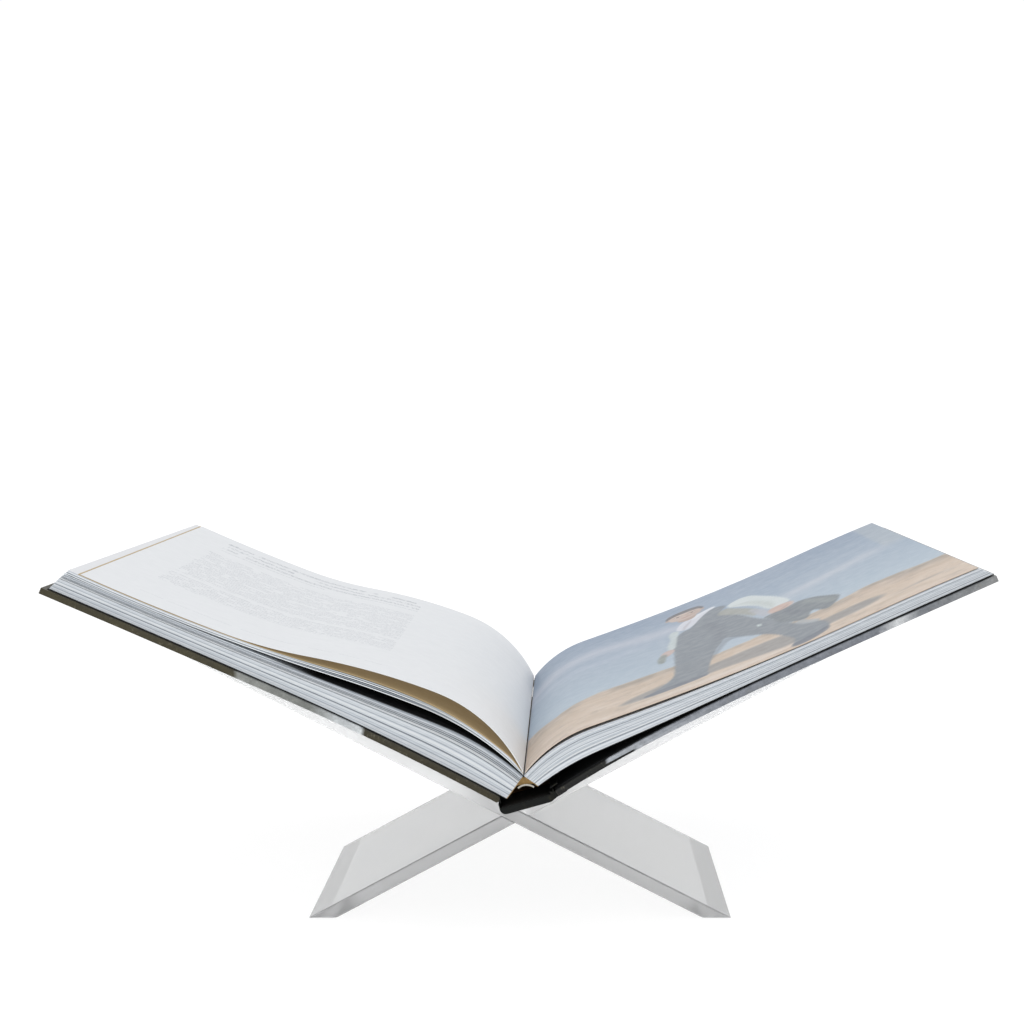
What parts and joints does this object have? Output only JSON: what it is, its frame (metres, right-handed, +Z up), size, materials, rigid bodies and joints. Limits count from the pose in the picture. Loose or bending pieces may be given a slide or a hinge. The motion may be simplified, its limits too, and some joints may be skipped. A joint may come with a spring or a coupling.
{
  "type": "photo album stand",
  "caption": "Crossed clear acrylic board stand holding a large open hardcover photo album whose pages turn, halves fold and whole lifts off.",
  "frame": {"origin": "on the table, under the middle of the open album", "axes": "+Z up; +X towards the back cover (the viewer's right); -Y towards the reader; pages run along Y"},
  "size_m": [0.4768, 0.323, 0.1881],
  "materials": {
    "clear_acrylic": "polished clear cast acrylic with flame-polished edges",
    "greyboard": "dense grey-brown bookbinding board",
    "printed_wrap": "matt laminated print, dark olive and black with grey photographic areas",
    "spine_cloth": "black bookcloth",
    "endpaper": "smooth white endpaper",
    "page_paper": "matt coated white paper, cut edges cool grey",
    "black_print": "matt coated paper printed solid black",
    "tan_print": "matt coated paper printed tan brown with a white margin",
    "text_print": "matt coated white paper with pale grey unreadable text",
    "picture_print": null,
    "kraft_liner": "brown kraft paper and dried glue",
    "band_thread": "white cotton end band"
  },
  "bodies": {
    "rising_leg": {"rising_board": "clear_acrylic"},
    "falling_leg": {"falling_board": "clear_acrylic"},
    "album_spine": {"spine_board": "greyboard", "spine_lining": "kraft_liner", "spine_cloth": "spine_cloth", "front_hinge_cloth": "spine_cloth", "back_hinge_cloth": "spine_cloth", "tail_band": "band_thread", "head_band": "band_thread"},
    "front_half": {"front_cover_board": "greyboard", "front_cover_wrap": "printed_wrap", "front_pastedown": "endpaper", "front_flyleaf": "endpaper", "front_spine_liner": "kraft_liner", "black_leaf": "black_print", "bundle_root": "page_paper", "front_section_1": "page_paper", "front_section_2": "page_paper", "front_section_3": "page_paper", "front_section_4": "page_paper", "front_section_5": "page_paper", "front_section_6": "page_paper"},
    "back_half": {"back_cover_board": "greyboard", "back_cover_wrap": "printed_wrap", "back_pastedown": "endpaper", "back_flyleaf": "endpaper", "back_spine_liner": "kraft_liner", "picture_leaf_root": "picture_print", "back_section_1": "page_paper", "back_section_2": "page_paper", "back_section_3": "page_paper", "back_section_4": "page_paper"},
    "leaf_bundle": {"bundle_leaf_1": "page_paper", "bundle_leaf_2": "page_paper", "bundle_leaf_3": "page_paper", "bundle_leaf_4": "page_paper", "tan_leaf": "tan_print", "text_leaf_root": "text_print"},
    "text_page": {"text_leaf": "text_print"},
    "picture_page": {"picture_leaf": "picture_print"}
  },
  "joints": [
    {"name": "boards_slide_apart", "type": "slide", "parent": "rising_leg", "child": "falling_leg", "axis": [0, -1, 0], "range_m": [0, 0.075]},
    {"name": "album_lift_off", "type": "slide", "parent": "rising_leg", "child": "album_spine", "axis": [0, 0, 1], "range_m": [0, 0.15]},
    {"name": "front_half_fold", "type": "hinge", "parent": "album_spine", "child": "front_half", "pos_m": [0.00235, 0, 0.08345], "axis": [0, 1, 0], "range_deg": [0, 15], "deforming": ["front_hinge_cloth"]},
    {"name": "back_half_fold", "type": "hinge", "parent": "album_spine", "child": "back_half", "pos_m": [0.00235, 0, 0.08345], "axis": [0, -1, 0], "range_deg": [0, 15], "deforming": ["back_hinge_cloth"]},
    {"name": "leaf_bundle_turn", "type": "hinge", "parent": "front_half", "child": "leaf_bundle", "pos_m": [0.00235, 0, 0.08345], "axis": [0, 1, 0], "range_deg": [0, 10]},
    {"name": "text_page_turn", "type": "hinge", "parent": "leaf_bundle", "child": "text_page", "pos_m": [0.00235, 0, 0.08345], "axis": [0, 1, 0], "range_deg": [0, 38]},
    {"name": "picture_page_turn", "type": "hinge", "parent": "back_half", "child": "picture_page", "pos_m": [0.00235, 0, 0.08345], "axis": [0, -1, 0], "range_deg": [0, 24]}
  ]
}
